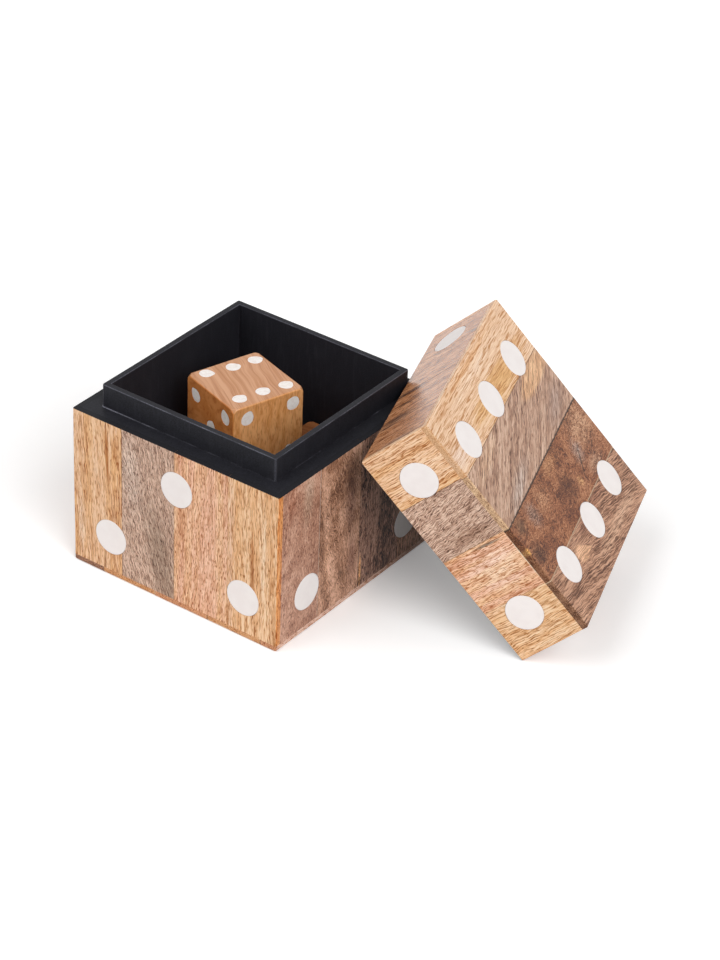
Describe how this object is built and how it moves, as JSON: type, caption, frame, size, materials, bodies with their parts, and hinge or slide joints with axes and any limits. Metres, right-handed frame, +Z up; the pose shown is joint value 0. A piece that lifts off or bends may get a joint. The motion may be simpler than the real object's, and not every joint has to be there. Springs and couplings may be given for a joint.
{
  "type": "dice box",
  "caption": "Cube-shaped wooden dice box made like a big die, with a lift-off lid over a black collar and dice inside.",
  "frame": {"origin": "middle of the base's underside, on the table", "axes": "+Z up, front (the five) towards -Y, lid leaning on the +X side"},
  "size_m": [0.2379, 0.1882, 0.1148],
  "materials": {
    "mango_golden": "planed and sanded mango wood, clear satin varnish",
    "mango_grey_brown": "planed and sanded mango wood, clear satin varnish",
    "mango_pink": "planed and sanded mango wood, clear satin varnish",
    "mango_brown": "planed and sanded mango wood, clear satin varnish",
    "mango_dark_brown": "planed and sanded mango wood, clear satin varnish",
    "black_painted_mdf": "brushed matt black paint over fibreboard",
    "white_resin": "white resin, sanded flush",
    "die_wood": "tumbled hardwood, clear satin varnish"
  },
  "bodies": {
    "base": {"base_floor": "black_painted_mdf", "base_wall_front": "black_painted_mdf", "base_wall_right": "black_painted_mdf", "base_wall_back": "black_painted_mdf", "base_wall_left": "black_painted_mdf", "collar_front": "black_painted_mdf", "collar_right": "black_painted_mdf", "collar_back": "black_painted_mdf", "collar_left": "black_painted_mdf", "front_board_1": "mango_golden", "front_board_2": "mango_grey_brown", "front_board_3": "mango_pink", "front_board_4": "mango_golden", "right_board_1": "mango_brown", "right_board_2": "mango_brown", "right_board_3": "mango_dark_brown", "right_board_4": "mango_brown", "left_board_1": "mango_pink", "left_board_2": "mango_brown", "left_board_3": "mango_golden", "left_board_4": "mango_brown", "back_boards": "mango_brown", "bottom_boards": "mango_brown", "base_dots": "white_resin"},
    "lid": {"lid_panel": "black_painted_mdf", "lid_wall_front": "black_painted_mdf", "lid_wall_right": "black_painted_mdf", "lid_wall_back": "black_painted_mdf", "lid_wall_left": "black_painted_mdf", "lid_top_board_1": "mango_golden", "lid_top_board_2": "mango_grey_brown", "lid_top_board_3": "mango_dark_brown", "lid_top_board_4": "mango_brown", "lid_front_board_1": "mango_golden", "lid_front_board_2": "mango_grey_brown", "lid_front_board_3": "mango_pink", "lid_front_board_4": "mango_golden", "lid_right_board_1": "mango_brown", "lid_right_board_2": "mango_brown", "lid_right_board_3": "mango_dark_brown", "lid_right_board_4": "mango_brown", "lid_left_board_1": "mango_pink", "lid_left_board_2": "mango_brown", "lid_left_board_3": "mango_golden", "lid_left_board_4": "mango_brown", "lid_back_boards": "mango_brown", "lid_dots": "white_resin"},
    "die_1": {"die_1": "die_wood", "die_1_dots": "white_resin"},
    "die_2": {"die_2": "die_wood", "die_2_dots": "white_resin"},
    "die_3": {"die_3": "die_wood", "die_3_dots": "white_resin"},
    "die_4": {"die_4": "die_wood", "die_4_dots": "white_resin"},
    "top_die": {"top_die": "die_wood", "top_die_dots": "white_resin"}
  },
  "joints": [
    {"name": "lid_lift", "type": "slide", "parent": "base", "child": "lid", "axis": [0, 0, 1], "range_m": [0, 0.16]},
    {"name": "die_1_lift", "type": "slide", "parent": "base", "child": "die_1", "axis": [0, 0, 1], "range_m": [0, 0.09]},
    {"name": "die_2_lift", "type": "slide", "parent": "die_1", "child": "die_2", "axis": [0, 0, 1], "range_m": [0, 0.09]},
    {"name": "die_3_lift", "type": "slide", "parent": "die_2", "child": "die_3", "axis": [0, 0, 1], "range_m": [0, 0.09]},
    {"name": "die_4_lift", "type": "slide", "parent": "die_3", "child": "die_4", "axis": [0, 0, 1], "range_m": [0, 0.09]},
    {"name": "top_die_lift", "type": "slide", "parent": "die_4", "child": "top_die", "axis": [0, 0, 1], "range_m": [0, 0.06]}
  ]
}
